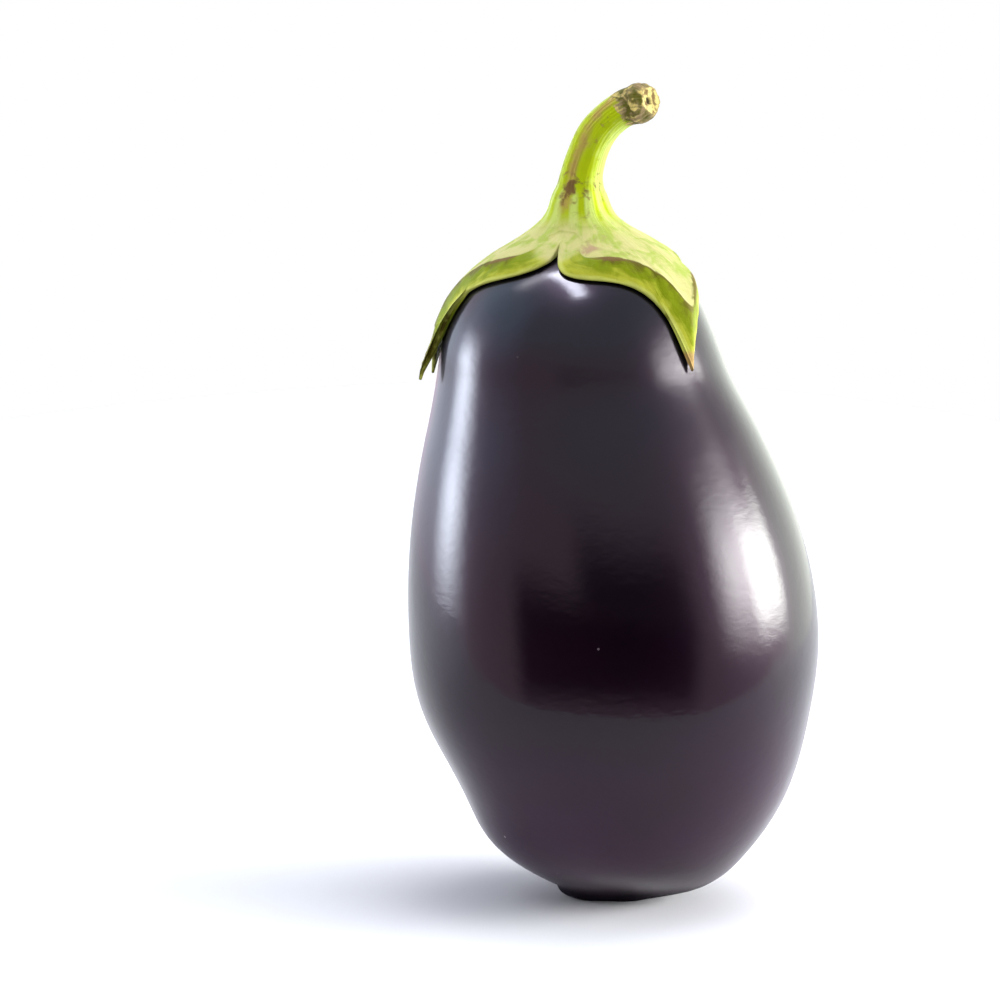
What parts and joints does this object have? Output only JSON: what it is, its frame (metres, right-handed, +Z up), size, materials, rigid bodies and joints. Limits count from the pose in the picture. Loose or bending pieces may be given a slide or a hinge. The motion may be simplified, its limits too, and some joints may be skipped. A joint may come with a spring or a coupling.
{
  "type": "eggplant",
  "caption": "Glossy dark purple globe eggplant with a green calyx and a short curved stem, standing upright on its blossom end.",
  "frame": {"origin": "middle of the small flat spot on the blossom end that the fruit rests on", "axes": "+Z up along the fruit towards the stem; +X towards the side that the stem leans to; -Y is the front"},
  "size_m": [0.103, 0.1028, 0.2064],
  "materials": {
    "fruit_skin": "gloss",
    "calyx_green": "satin"
  },
  "bodies": {
    "root": {"fruit": "fruit_skin", "calyx_and_stem": "calyx_green"}
  },
  "joints": []
}
